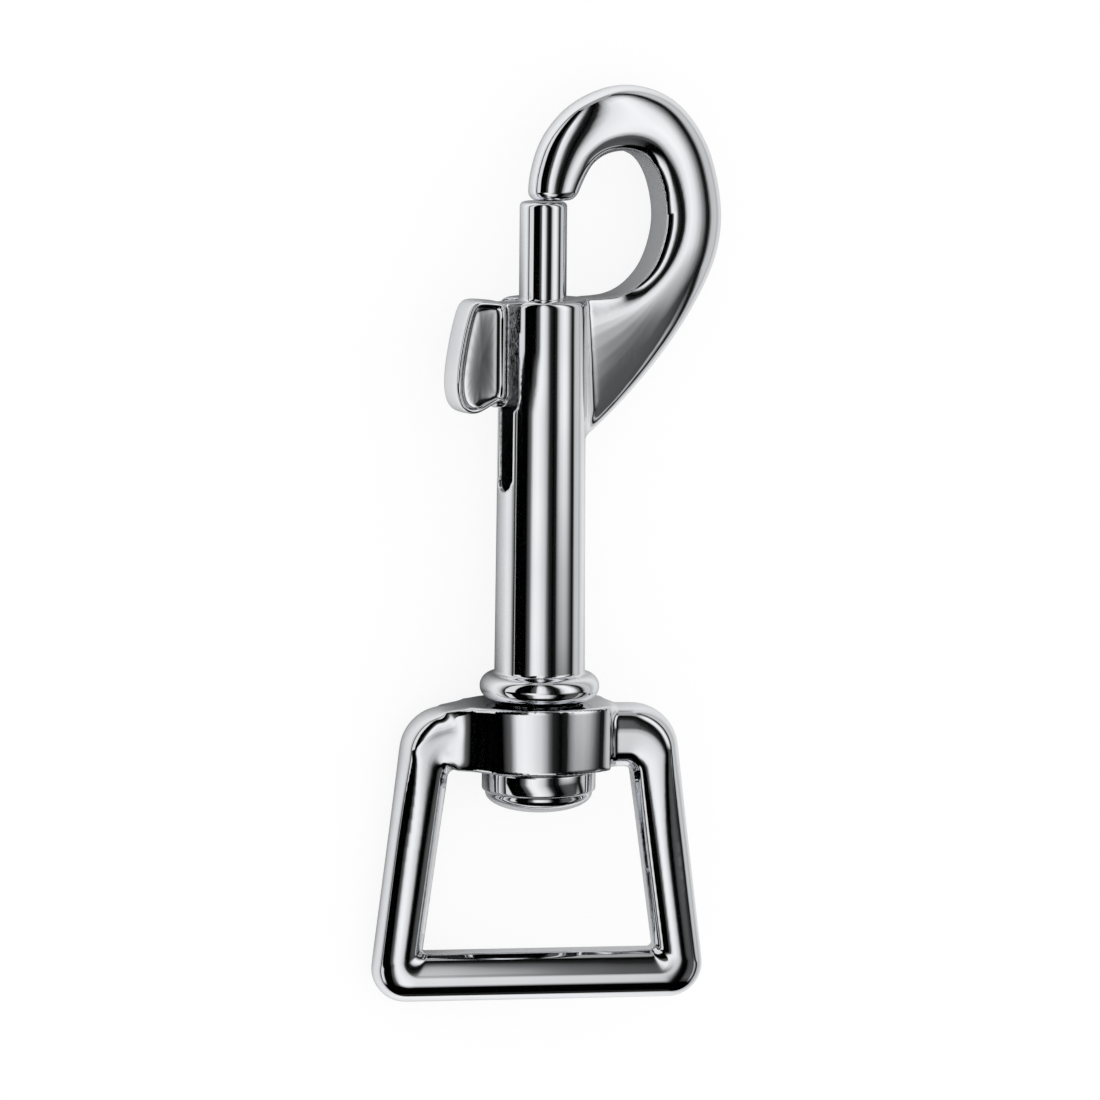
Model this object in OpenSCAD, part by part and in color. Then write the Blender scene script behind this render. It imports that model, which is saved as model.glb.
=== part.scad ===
// Swivel snap hook with a spring bolt and a strap eye, lying as it comes to rest.
// Millimetres. The origin is the middle of the strap bar, +Y runs up the barrel to the hook,
// the hook bulges to +X, the thumb tab stands out to -X and +Z is up.

/* [Barrel] */
// Diameter of the barrel at its mouth, where the bolt comes out
mouth_d = 9.1; // [9:0.05:9.6]
// Diameter of the barrel at its base, just above the bead
barrel_d = 9.6; // [9.4:0.05:10.4]
// Length of the barrel from the swivel end to the mouth
barrel_l = 42.9; // [40:0.1:50]
// Outer diameter of the bead around the swivel end
bead_d = 12.7; // [12:0.1:14]
// Thickness of the bead along the barrel
bead_t = 2.8; // [2:0.1:3.4]
// Diameter of the short neck below the bead
neck_d = 9.8; // [8.6:0.1:11]
// Length of the neck below the bead
neck_l = 0.2; // [0.2:0.1:1]

/* [Bolt] */
// Diameter of the sliding bolt
bolt_d = 5; // [4.4:0.1:5.2]
// Length of bolt that stands out of the mouth
bolt_out = 10.2; // [8:0.1:12]
// How far the thumb tab pulls the bolt back
travel = 8.8; // [6:0.1:9.5]
// Radial clearance of the bolt in its bore
bolt_play = 0.06; // [0.03:0.01:0.1]
// Gap between the bolt and the hook's nose
nose_gap = 0.15; // [0.05:0.05:0.4]

/* [Thumb tab] */
// Distance of the tab's outer edge from the barrel's axis
tab_reach = 11; // [9.5:0.1:13]
// Length of the tab along the barrel
tab_l = 12; // [9:0.1:13]
// Thickness of the tab over its raised rim
tab_t = 3.6; // [3.2:0.1:4.4]
// Depth of the hollow in each side of the tab
tab_dish = 0.6; // [0.3:0.1:0.9]
// Width of the slot that the tab runs in
slot_w = 2.9; // [2.5:0.1:3.2]
// Clearance between the tab's web and each side of the slot
web_play = 0.15; // [0.1:0.05:0.3]
// Width of the slot's upper part, around the tab at rest
mouth_slot_w = 4.4; // [3.6:0.1:4.6]

/* [Hook] */
// Distance of the hook's outermost point from the barrel's axis
hook_reach = 21.3; // [19:0.1:26]
// Height of the hook's top above the mouth
hook_rise = 22.4; // [21:0.2:26]
// Thickness of the hook across its own plane
hook_t = 5.6; // [4.6:0.1:6.4]

/* [Spring] */
// Diameter of the spring wire
wire_d = 0.5; // [0.4:0.05:0.7]
// Turns of the spring
turns = 12; // [8:1:14]
// Radial gap between the spring and its bore
spring_play = 0.2; // [0.15:0.05:0.4]

/* [Swivel] */
// Diameter of the rivet that the eye turns on
rivet_d = 6.2; // [5.6:0.1:6.6]
// Diameter of the rivet's head
head_d = 12.1; // [10:0.1:13]
// Height of the straight side of the head
head_side = 2.4; // [1.6:0.1:3]
// Height of the head's dome
dome_h = 2.2; // [1:0.1:2.6]
// Radial clearance of the rivet in the eye's boss
swivel_play = 0.08; // [0.03:0.01:0.1]
// Gap above and below the boss
end_play = 0.15; // [0.1:0.05:0.4]

/* [Strap eye] */
// Width of the strap that the eye takes, across the inner side of the strap bar
strap_w = 25; // [22:0.5:32]
// Inner height of the eye
eye_h = 19.9; // [17:0.1:26]
// How much narrower the eye is at its top
eye_narrow = 5.4; // [3:0.1:8]
// Width of the eye's bars in its own plane
bar_w = 5.5; // [4.6:0.1:6.2]
// Thickness of the eye's bars
bar_t = 5.2; // [4.4:0.1:6]
// Height of the strap bar
strap_bar_h = 5.4; // [4.4:0.1:6.4]
// Height of the top bar
top_bar_h = 6.7; // [6:0.1:8]
// Depth of the boss that the rivet passes through, from its front face to its back
boss_d = 13.8; // [12.6:0.1:15]
// Width of the boss along the top bar
boss_w = 14.2; // [13.4:0.1:15]
// Radius of the boss's front and back faces
boss_face_r = 10; // [9:0.1:14]
// Thickness of the top bar where it runs into the boss
arm_t = 6.2; // [5.4:0.1:6.8]
// Radius of the fillet where the left arm runs into the boss
arm_round = 7.8; // [4:0.1:9]
// Height of the boss
boss_h = 6.9; // [6:0.1:7.4]
// Rise of the top bar from its corners to the boss
top_crown = 0.5; // [0.2:0.1:0.9]

/* [Rest] */
// Roll of the hook about the barrel's axis as it lies, bulge down
lie_roll = 6; // [0:1:10]
// Turn of the eye about the barrel's axis as it lies, on its corner
eye_turn = -14; // [-20:1:20]

/* [Hidden] */
$fn = 64;
chrome = [0.76, 0.77, 0.79];
steel = [0.62, 0.63, 0.65];

// Places along the barrel's axis, from the strap bar up to the hook
loop_top = strap_bar_h / 2 + eye_h;
boss_top = loop_top + boss_h;
body_base = boss_top + end_play;
bead_y = body_base + neck_l + bead_t / 2;
mouth_y = body_base + barrel_l;
bolt_top = mouth_y + bolt_out;
nose_y = bolt_top + nose_gap;
socket_depth = 5.4;
seat_y = body_base + socket_depth;

// Sizes across the axis
bore_r = bolt_d / 2 + bolt_play;
mouth_r = mouth_d / 2;
barrel_r = barrel_d / 2;
mouth_edge = 0.8;
web_t = slot_w - 2 * web_play;

// Half the eye's inner width at its top, and the end of the boss's arms in its corners
half_high = (strap_w - eye_narrow) / 2;
arm_x = half_high + bar_w / 2;

// The tab hangs below the level of the mouth, and the slot goes on below it for the travel
tab_top = mouth_y + 0.2;
tab_base = tab_top - tab_l;
web_base = tab_base + 0.5;
slot_base = web_base - travel - 0.2;
tab_gap = 0.3;
bolt_base = web_base - 2.5;
spigot_d = 2.6;
spigot_l = 2;

// Moulded bar sections
sides = 10;

// A cylinder or a turned shape drawn upright is laid along the barrel's axis
module along_y(start = 0) translate([0, start, 0]) rotate([-90, 0, 0]) children();

// Point between b and c on a smooth curve through a, b, c and d
function curve(a, b, c, d, s) =
    0.5 * (2 * b + (c - a) * s + (2 * a - 5 * b + 4 * c - d) * s * s
        + (3 * b - a - 3 * c + d) * s * s * s);

// Open row of stations made finer by a smooth curve, with steps parts between neighbours
function finer(rows, steps) = let (last = len(rows) - 1) [
    for (i = [0:last - 1], k = [0:steps - 1])
        curve(rows[max(i - 1, 0)], rows[i], rows[i + 1], rows[min(i + 2, last)], k / steps),
    rows[last]
];

// Polygon with its corners, given as [x, y, radius], rounded by arcs of steps parts
function rounded(corners, steps) = let (n = len(corners)) [
    for (i = [0:n - 1])
        let (
            p = [corners[i][0], corners[i][1]],
            q = corners[(i + n - 1) % n],
            r = corners[(i + 1) % n],
            back = [q[0], q[1]] - p,
            ahead = [r[0], r[1]] - p,
            u = back / norm(back),
            v = ahead / norm(ahead),
            half = acos(u * v) / 2,
            middle = p + (u + v) / norm(u + v) * corners[i][2] / sin(half),
            from = p + u * corners[i][2] / tan(half) - middle,
            to = p + v * corners[i][2] / tan(half) - middle
        )
        for (k = [0:steps])
            let (s = k / steps, at = from * (1 - s) + to * s)
            middle + at / norm(at) * corners[i][2]
];

// Side triangles between rings of n points each, closing back on the first ring if loop is true
function skin(rings, n, loop) = [
    for (i = [0:rings - (loop ? 1 : 2)], k = [0:n - 1])
        let (
            a = i * n + k,
            b = i * n + (k + 1) % n,
            c = ((i + 1) % rings) * n + k,
            d = ((i + 1) % rings) * n + (k + 1) % n
        )
        for (face = [[a, c, b], [b, c, d]]) face
];

// Moulded bar section: flat face to the inside, steep shoulder, then a full round to the outside.
// The first number runs from -1 inside to 1 outside, the second from -1 to 1 through the bar.
function bar_section(shoulder, crest) = concat(
    [for (p = shoulder) [p[0], -p[1]]],
    [for (k = [0:sides]) let (a = 180 * k / sides)
        [crest + (1 - crest) * sin(a), -cos(a)]],
    [for (k = [len(shoulder) - 1:-1:0]) shoulder[k]]
);

// Ring of points across a bar whose section runs from the inner to the outer point
function bar_ring(inner, outer, half_t, section) = [
    for (s = section)
        let (p = (inner + outer) / 2 + (outer - inner) / 2 * s[0])
        [p[0], p[1], half_t * s[1]]
];

// Hook stations at the drawn size: inner x and y, outer x and y, then half the thickness.
// They start at the nose, go over the top and down the far side, and end inside the barrel.
drawn_reach = 21.3;
drawn_rise = 22.4;
hook_stations = [
    [3.1, 10.35, -1.2, 10.35, 0.84],
    [4.1, 12.5, -1.3, 13.2, 0.9],
    [5.2, 14.2, 0.3, 17.2, 0.96],
    [7.0, 15.2, 4.1, 20.9, 1],
    [9.3, 15.3, 9.8, 22.4, 1],
    [11.6, 14.4, 15.5, 20.6, 1],
    [13.1, 12.2, 19.5, 15.8, 1],
    [13.9, 9.0, 21.3, 9.6, 1],
    [13.7, 6.2, 21.1, 4.9, 1],
    [12.6, 3.3, 19.6, 1.0, 0.99],
    [10.8, 1.3, 16.9, -3.3, 0.97],
    [8.8, 0.25, 13.6, -7.2, 0.94],
    [6.9, -0.05, 10.0, -10.8, 0.9],
    [5.0, -0.12, 6.6, -13.7, 0.86],
    [3.2, -0.3, 3.4, -16.0, 0.82]
];

// The nose keeps its height above the bolt, and the rest stretches to the hook's rise
function hook_y(y) = let (nose = nose_y - mouth_y)
    y <= 10.35 ? mouth_y + y * nose / 10.35
        : nose_y + (y - 10.35) * (hook_rise - nose) / (drawn_rise - 10.35);

// The nose keeps its place over the bolt, and the rest stretches to the hook's reach
function hook_x(x) = x <= 3 ? x : 3 + (x - 3) * (hook_reach - 3) / (drawn_reach - 3);

// The hook with its wedge root, lofted along the stations
module hook() {
    section = bar_section([[-1, 0.6], [-0.94, 0.72], [-0.82, 0.85], [-0.62, 0.94]], -0.24);
    n = len(section);
    rows = finer(hook_stations, 3);
    rings = [for (r = rows)
        bar_ring([hook_x(r[0]), hook_y(r[1])], [hook_x(r[2]), hook_y(r[3])],
            r[4] * hook_t / 2, section)];
    count = len(rings);
    polyhedron(
        points = [for (ring = rings, p = ring) p],
        faces = concat(
            skin(count, n, false),
            [[for (k = [0:n - 1]) k]],
            [[for (k = [n - 1:-1:0]) (count - 1) * n + k]]
        ),
        convexity = 6
    );
}

// Outside of the barrel, its bead and the neck that stands off the eye
module barrel_blank() along_y() rotate_extrude() {
    polygon([
        [0, body_base], [neck_d / 2, body_base], [neck_d / 2, bead_y], [barrel_r, bead_y],
        [mouth_r, mouth_y - mouth_edge], [mouth_r - mouth_edge, mouth_y], [0, mouth_y]
    ]);
    translate([bead_d / 2 - bead_t / 2, bead_y]) circle(d = bead_t);
    translate([mouth_r - mouth_edge, mouth_y - mouth_edge]) circle(r = mouth_edge);
}

// Straight slot through one side of the barrel, open at the mouth and round at its lower end
module slot(width, base) {
    low = base + width / 2;
    translate([-mouth_d, low, -width / 2]) cube([mouth_d, mouth_y - low + 2, width]);
    translate([0, low, 0]) rotate([0, -90, 0]) cylinder(d = width, h = mouth_d);
}

module snap_body() color(chrome) rotate([0, lie_roll, 0]) difference() {
    union() {
        barrel_blank();
        hook();
    }
    along_y(seat_y - 1) cylinder(r = bore_r, h = mouth_y - seat_y + 2);
    along_y(body_base - 1) cylinder(d = rivet_d, h = socket_depth + 1);
    slot(slot_w, slot_base);
    slot(mouth_slot_w, web_base - 1);
}

// Thumb pad with a raised rim and a hollow in each side, as rings from its edge to its middle
module tab_pad() {
    near = -(barrel_r + tab_gap);
    outline = rounded([
        [near, tab_base + 0.6, 0.5], [near, tab_top, 0.5],
        [-(tab_reach - 2.2), tab_top + 0.1, 1.2], [-tab_reach, tab_base + 4.6, 3],
        [-(tab_reach - 0.5), tab_base, 2.2]
    ], 5);
    middle = [(near - tab_reach) / 2, (tab_top + tab_base) / 2 - 0.4];
    half = tab_t / 2;
    // Each ring is a share of the outline's size and a height off the middle plane
    levels = [
        [0.05, tab_dish - half], [0.4, tab_dish - half], [0.6, 0.75 * tab_dish - half],
        [0.72, 0.3 * tab_dish - half], [0.8, -half], [0.88, 0.1 - half], [0.96, 0.45 - half],
        [1, 0.95 - half]
    ];
    stack = concat(levels, [for (k = [len(levels) - 1:-1:0]) [levels[k][0], -levels[k][1]]]);
    n = len(outline);
    polyhedron(
        points = [for (s = stack, p = outline)
            [middle[0] + (p[0] - middle[0]) * s[0], middle[1] + (p[1] - middle[1]) * s[0], s[1]]],
        faces = concat(
            skin(len(stack), n, false),
            [[for (k = [0:n - 1]) k]],
            [[for (k = [n - 1:-1:0]) (len(stack) - 1) * n + k]]
        ),
        convexity = 6
    );
}

// Web that joins the pad to the bolt through the slot
module tab_web() {
    reach = barrel_r + tab_gap + 0.8;
    low = web_base + web_t / 2;
    translate([-reach, low, -web_t / 2]) cube([reach, tab_top - 0.3 - low, web_t]);
    translate([0, low, 0]) rotate([0, -90, 0]) cylinder(d = web_t, h = reach);
}

module latch_bolt() color(chrome) rotate([0, lie_roll, 0]) {
    edge = 0.5;
    radius = bolt_d / 2;
    along_y(bolt_base) rotate_extrude() {
        square([radius, bolt_top - edge - bolt_base]);
        square([radius - edge, bolt_top - bolt_base]);
        translate([radius - edge, bolt_top - edge - bolt_base]) circle(r = edge);
    }
    along_y(bolt_base - spigot_l) cylinder(d = spigot_d, h = spigot_l + 1);
    tab_web();
    tab_pad();
}

// Compression spring between the rivet and the bolt, its end turns closed
module bolt_spring() color(steel) rotate([0, lie_roll, 0]) {
    wire_r = wire_d / 2;
    coil_r = bore_r - spring_play - wire_r;
    per_turn = 14;
    steps = turns * per_turn;
    ring_n = 7;
    length = bolt_base - seat_y - wire_d;
    closed = wire_d / length;
    rise = (1 - 2 * closed) / (turns - 2);
    points = [for (i = [0:steps])
        let (
            t = i / per_turn,
            share = t < 1 ? closed * t
                : t > turns - 1 ? 1 - closed * (turns - t)
                : closed + rise * (t - 1),
            a = 360 * t
        )
        for (k = [0:ring_n - 1])
            let (b = 360 * k / ring_n, r = coil_r + wire_r * cos(b))
            [r * cos(a), seat_y + wire_r + length * share + wire_r * sin(b), -r * sin(a)]
    ];
    polyhedron(
        points = points,
        faces = concat(
            skin(steps + 1, ring_n, false),
            [[for (k = [0:ring_n - 1]) k]],
            [[for (k = [ring_n - 1:-1:0]) steps * ring_n + k]]
        ),
        convexity = 12
    );
}

// Headed rivet, its shank fixed in the barrel's end and its head below the eye's boss
module swivel_rivet() color(chrome) rotate([0, lie_roll, 0]) {
    head_h = head_side + dome_h;
    head_low = loop_top - end_play - head_h;
    dome_r = (pow(head_d / 2, 2) + pow(dome_h, 2)) / (2 * dome_h);
    along_y(head_low + 1) cylinder(d = rivet_d, h = seat_y - head_low - 1);
    along_y(head_low) rotate_extrude() intersection() {
        square([head_d / 2, head_h]);
        translate([0, dome_r]) circle(r = dome_r);
    }
}

// Strap loop: one moulded bar around a trapezium
module strap_loop() {
    section = bar_section([[-1, 0.42], [-0.93, 0.6], [-0.76, 0.78], [-0.45, 0.93]], -0.08);
    steps = 5;
    low = strap_bar_h / 2;
    high = loop_top + top_bar_h;
    slope = eye_narrow / 2 / eye_h;
    half_low = strap_w / 2;
    out_low = half_low + bar_w + slope * low;
    out_high = half_high + bar_w - slope * top_bar_h;
    inner = rounded([
        [-half_low, low, 0.4], [-half_high, loop_top, 0.9], [half_high, loop_top, 0.9],
        [half_low, low, 0.4]
    ], steps);
    outer = rounded([
        [-out_low, -low, 3.6], [-out_high, high, 5], [out_high, high, 5], [out_low, -low, 3.6]
    ], steps);
    n = len(section);
    count = len(inner);
    polyhedron(
        points = [for (i = [0:count - 1]) for (p = bar_ring(inner[i], outer[i], bar_t / 2, section)) p],
        faces = skin(count, n, true),
        convexity = 6
    );
}

// Outline of the boss and its two arms, seen along the rivet: an oval boss whose faces are
// large arcs, the left arm running in by a wide fillet and the right arm meeting it in a corner
module boss_outline() {
    half_w = boss_w / 2;
    half_arm = arm_t / 2;
    face_back = boss_face_r - boss_d / 2;
    fillet_y = half_arm + arm_round;
    fillet_x = sqrt(pow(boss_face_r + arm_round, 2) - pow(face_back + fillet_y, 2));
    touch = boss_face_r / (boss_face_r + arm_round);
    end_t = 0.16 * arm_t;
    intersection() {
        translate([0, -face_back]) circle(r = boss_face_r);
        translate([0, face_back]) circle(r = boss_face_r);
        square([boss_w, boss_d], center = true);
    }
    polygon([
        [-arm_x, -end_t], [-fillet_x, -half_arm], [half_w + 0.4, -half_arm], [arm_x, -end_t],
        [arm_x, end_t], [half_w + 0.4, half_arm], [-fillet_x, half_arm], [-arm_x, end_t]
    ]);
    for (side = [0, 1]) mirror([0, side]) difference() {
        polygon([
            [-fillet_x, 0], [-fillet_x, half_arm],
            [-fillet_x * touch, (face_back + fillet_y) * touch - face_back], [-half_w / 2, 0]
        ]);
        translate([-fillet_x, fillet_y]) circle(r = arm_round);
    }
}

// The boss with its arms, whose ends narrow into the corners of the strap loop
module boss_block() {
    half_w = boss_w / 2;
    foot_x = half_high - 0.5;
    knee_x = half_high + 0.8;
    foot_rise = 0.75 * (arm_x - foot_x);
    end_top = boss_top - top_crown - 0.85 * (arm_x - knee_x);
    intersection() {
        along_y(loop_top) linear_extrude(boss_h) boss_outline();
        translate([0, 0, -boss_d]) linear_extrude(2 * boss_d) polygon([
            [-arm_x, loop_top + foot_rise], [-foot_x, loop_top], [foot_x, loop_top],
            [arm_x, loop_top + foot_rise], [arm_x, end_top], [knee_x, boss_top - top_crown],
            [half_w, boss_top], [-half_w, boss_top], [-knee_x, boss_top - top_crown],
            [-arm_x, end_top]
        ]);
    }
}

module swivel_eye() color(chrome) rotate([0, eye_turn, 0]) difference() {
    union() {
        strap_loop();
        boss_block();
    }
    along_y(loop_top - 1) cylinder(r = rivet_d / 2 + swivel_play, h = boss_h + 2);
}

snap_body();
latch_bolt();
bolt_spring();
swivel_rivet();
swivel_eye();
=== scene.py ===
import math
import bmesh
import bpy
from mathutils import Matrix, Vector
from mathutils.bvhtree import BVHTree
from mathutils.kdtree import KDTree


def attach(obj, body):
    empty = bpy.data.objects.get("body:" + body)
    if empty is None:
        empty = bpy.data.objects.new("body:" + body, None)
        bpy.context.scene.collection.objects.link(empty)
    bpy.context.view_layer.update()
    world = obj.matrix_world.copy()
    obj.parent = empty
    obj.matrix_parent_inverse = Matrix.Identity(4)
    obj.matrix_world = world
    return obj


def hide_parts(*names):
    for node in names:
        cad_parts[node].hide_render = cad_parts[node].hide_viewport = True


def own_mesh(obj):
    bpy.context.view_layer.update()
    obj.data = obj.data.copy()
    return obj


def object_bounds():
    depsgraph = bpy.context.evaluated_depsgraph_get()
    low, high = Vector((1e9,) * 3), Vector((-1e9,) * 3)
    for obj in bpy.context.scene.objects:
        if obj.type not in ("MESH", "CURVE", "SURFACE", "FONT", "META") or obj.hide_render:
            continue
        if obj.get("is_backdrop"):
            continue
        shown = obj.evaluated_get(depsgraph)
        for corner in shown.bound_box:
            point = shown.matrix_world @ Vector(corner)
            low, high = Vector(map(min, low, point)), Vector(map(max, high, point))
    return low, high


# Swivel snap hook of plated die-cast zinc, lying flat under a soft studio tent.
# Places and sizes are in millimetres here and go to metres through mm().
# The hook is drawn with its bulge level, and laid over by its roll at the end.

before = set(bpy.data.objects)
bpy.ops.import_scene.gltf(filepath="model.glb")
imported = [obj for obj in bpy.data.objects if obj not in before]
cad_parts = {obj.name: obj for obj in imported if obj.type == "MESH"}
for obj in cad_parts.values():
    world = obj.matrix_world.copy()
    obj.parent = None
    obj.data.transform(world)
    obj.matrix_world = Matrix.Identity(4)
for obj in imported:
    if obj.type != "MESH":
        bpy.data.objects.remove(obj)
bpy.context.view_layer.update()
scene = bpy.context.scene
scene.view_settings.view_transform = "Standard"
print("stage: frame loaded")


def mm(value):
    return value / 1000


def place(x, y, z=0):
    return Vector((mm(x), mm(y), mm(z)))


def putDown():
    if bpy.context.mode != "OBJECT":
        bpy.ops.object.mode_set(mode="OBJECT")
    bpy.ops.object.select_all(action="DESELECT")


def takeUp(*objects):
    putDown()
    for item in objects:
        item.select_set(True)
    bpy.context.view_layer.objects.active = objects[0]


def startEdit(piece, kind="VERT"):
    takeUp(piece)
    bpy.ops.object.mode_set(mode="EDIT")
    bpy.ops.mesh.select_mode(type=kind)


def endEdit():
    bpy.ops.object.mode_set(mode="OBJECT")


# Selects vertices by their place in millimetres
def pickVerts(piece, test):
    mesh = bmesh.from_edit_mesh(piece.data)
    for vert in mesh.verts:
        vert.select_set(test(vert.co * 1000))
    mesh.select_flush_mode()
    bmesh.update_edit_mesh(piece.data)


# Selects edges by both their ends in millimetres
def pickEdges(piece, test):
    mesh = bmesh.from_edit_mesh(piece.data)
    for edge in mesh.edges:
        edge.select_set(test(edge.verts[0].co * 1000, edge.verts[1].co * 1000))
    mesh.select_flush_mode()
    bmesh.update_edit_mesh(piece.data)


def pickNumbers(piece, numbers):
    mesh = bmesh.from_edit_mesh(piece.data)
    mesh.verts.ensure_lookup_table()
    for vert in mesh.verts:
        vert.select_set(False)
    for number in numbers:
        mesh.verts[number].select_set(True)
    mesh.select_flush_mode()
    bmesh.update_edit_mesh(piece.data)


def pickedNumbers(piece):
    mesh = bmesh.from_edit_mesh(piece.data)
    mesh.verts.index_update()
    return [vert.index for vert in mesh.verts if vert.select]


def tidyShell(piece):
    startEdit(piece)
    bpy.ops.mesh.select_all(action="SELECT")
    bpy.ops.mesh.remove_doubles(threshold=mm(0.002))
    bpy.ops.mesh.normals_make_consistent(inside=False)
    endEdit()


def applyModifier(piece, kind, **settings):
    takeUp(piece)
    modifier = piece.modifiers.new(kind.lower(), kind)
    for key, value in settings.items():
        setattr(modifier, key, value)
    bpy.ops.object.modifier_apply(modifier=modifier.name)


def cutAway(piece, cutter):
    applyModifier(piece, "BOOLEAN", operation="DIFFERENCE", solver="EXACT", object=cutter)
    takeUp(cutter)
    bpy.ops.object.delete()


def arc(centreR, centreY, radius, start, end, parts):
    angles = [math.radians(start + (end - start) * k / parts) for k in range(parts + 1)]
    return [(centreR + radius * math.cos(a), centreY + radius * math.sin(a)) for a in angles]


# A single point is extruded from place to place, as a drawn line
def drawnLine(name, points, closed):
    putDown()
    bpy.ops.mesh.primitive_plane_add(size=mm(1))
    piece = bpy.context.object
    piece.name = name
    startEdit(piece)
    bpy.ops.mesh.select_all(action="SELECT")
    bpy.ops.mesh.merge(type="CENTER")
    bpy.ops.transform.translate(value=points[0])
    for last, point in zip(points, points[1:]):
        bpy.ops.mesh.extrude_vertices_move(TRANSFORM_OT_translate={"value": point - last})
    if closed:
        pickNumbers(piece, [0, len(points) - 1])
        bpy.ops.mesh.edge_face_add()
    bpy.ops.mesh.select_all(action="SELECT")
    return piece


# Turned on a lathe: the profile is drawn, then spun round Y
def turned(name, profile, steps, closed):
    piece = drawnLine(name, [place(*point) for point in profile], closed)
    bpy.ops.mesh.spin(steps=steps, angle=math.tau, center=(0, 0, 0), axis=(0, 1, 0))
    endEdit()
    tidyShell(piece)
    return piece


# Cut from plate: the outline is drawn, filled and pulled out to its thickness
def cutPlate(name, points, pull):
    piece = drawnLine(name, points, True)
    bpy.ops.mesh.edge_face_add()
    bpy.ops.mesh.extrude_region_move(TRANSFORM_OT_translate={"value": pull})
    endEdit()
    tidyShell(piece)
    return piece


# Swept bar: a drawn ring is extruded from station to station, turned and sized at each.
# A station is inner x, y, outer x, y, half the thickness, the share of the outer rounding
# that is kept, so that a wide plate keeps a narrow rim, and the share of the thickness there.
def swept(name, section, shoulder, stations, closed):
    putDown()
    bpy.ops.mesh.primitive_circle_add(
        vertices=len(section), radius=mm(1), fill_type="NOTHING" if closed else "NGON")
    piece = bpy.context.object
    piece.name = name
    startEdit(piece)
    before = None
    for station in stations:
        inner, outer = Vector(station[0:2]), Vector(station[2:4])
        middle, reach = (inner + outer) / 2, (outer - inner) / 2
        now = (place(*middle), math.atan2(reach.y, reach.x), reach.length, *station[4:7])
        if before is None:
            for number, (radial, through) in enumerate(section):
                pickNumbers(piece, [number])
                mesh = bmesh.from_edit_mesh(piece.data)
                mesh.verts.ensure_lookup_table()
                goal = middle + reach * radial
                goal = place(goal.x, goal.y, station[4] * through)
                bpy.ops.transform.translate(value=goal - mesh.verts[number].co)
            bpy.ops.mesh.select_all(action="SELECT")
        else:
            bpy.ops.mesh.extrude_region_move(
                TRANSFORM_OT_translate={"value": now[0] - before[0]})
            turn = (now[1] - before[1] + math.pi) % math.tau - math.pi
            bpy.ops.transform.rotate(value=-turn, orient_axis="Z", center_override=now[0])
            wide = now[2] / before[2]
            bpy.ops.transform.resize(
                value=(wide, wide, now[3] / before[3]), center_override=now[0])
        ring = pickedNumbers(piece)
        narrow = now[4] / (before[4] if before else 1)
        thin = now[5] / (before[5] if before else 1)
        if abs(narrow - 1) > 0.001 or abs(thin - 1) > 0.001:
            tip = place(*outer)
            edge = (1 - (1 - shoulder) * (before[4] if before else 1)) - 0.02
            across = reach.normalized()
            mesh = bmesh.from_edit_mesh(piece.data)
            mesh.verts.ensure_lookup_table()
            outside = [
                n for n in ring
                if (mesh.verts[n].co * 1000).xy.dot(across) - middle.dot(across)
                > edge * reach.length]
            pickNumbers(piece, outside)
            bpy.ops.transform.resize(value=(narrow, narrow, thin), center_override=tip)
            pickNumbers(piece, ring)
        before = now
    if closed:
        bpy.ops.mesh.select_all(action="DESELECT")
        bpy.ops.mesh.select_non_manifold()
        bpy.ops.mesh.bridge_edge_loops()
    endEdit()
    tidyShell(piece)
    return piece


# Cast in one: overlapping shells are joined into one skin, filled and softened along the lines
# where they meet, softened at their sharp edges, and laid back on the drawn shells elsewhere
def castTogether(name, shells, look):
    trees, sharp = [], []
    for shell in shells:
        mesh = bmesh.new()
        mesh.from_mesh(shell.data)
        trees.append(BVHTree.FromBMesh(mesh))
        for edge in mesh.edges:
            if len(edge.link_faces) == 2 and edge.calc_face_angle() > math.radians(35):
                a, b = edge.verts[0].co, edge.verts[1].co
                parts = max(1, int((b - a).length / mm(0.25)))
                sharp += [a.lerp(b, k / parts) for k in range(parts + 1)]
        mesh.free()
    lines = KDTree(max(len(sharp), 1))
    for number, point in enumerate(sharp):
        lines.insert(point, number)
    lines.balance()
    putDown()
    takeUp(*shells)
    bpy.ops.object.duplicate()
    bpy.ops.object.join()
    drawn = bpy.context.object
    takeUp(*shells)
    bpy.ops.object.join()
    piece = bpy.context.object
    piece.name = name
    applyModifier(piece, "REMESH", mode="VOXEL", voxel_size=mm(look["grain"]), adaptivity=0)
    soft = piece.vertex_groups.new(name="soft")
    plain = piece.vertex_groups.new(name="plain")
    fill = piece.vertex_groups.new(name="fill")
    for vert in piece.data.vertices:
        edgeShare = 1.0
        if sharp:
            edgeShare = min(lines.find(vert.co)[2] / mm(look["edge"]), 1)
        gaps = sorted(tree.find_nearest(vert.co)[3] for tree in trees)
        zone = look["meet"](vert.co * 1000)
        meetShare = min(gaps[1] / mm(zone), 1)
        soft.add([vert.index], 1 - meetShare ** 2, "REPLACE")
        fill.add([vert.index], (1 - meetShare) ** 2 * look["filled"](vert.co * 1000), "REPLACE")
        share = min(edgeShare, meetShare)
        plain.add([vert.index], share * share * (3 - 2 * share), "REPLACE")
    applyModifier(
        piece, "DISPLACE", strength=mm(1), mid_level=0, vertex_group="fill")
    applyModifier(piece, "SMOOTH", factor=0.5, iterations=look["rounds"], vertex_group="soft")
    applyModifier(piece, "SMOOTH", factor=0.5, iterations=look["edgeRounds"])
    applyModifier(
        piece, "SHRINKWRAP", target=drawn, wrap_method="NEAREST_SURFACEPOINT",
        vertex_group="plain")
    takeUp(drawn)
    bpy.ops.object.delete()
    takeUp(piece)
    bpy.ops.object.shade_smooth()
    return piece


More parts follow.
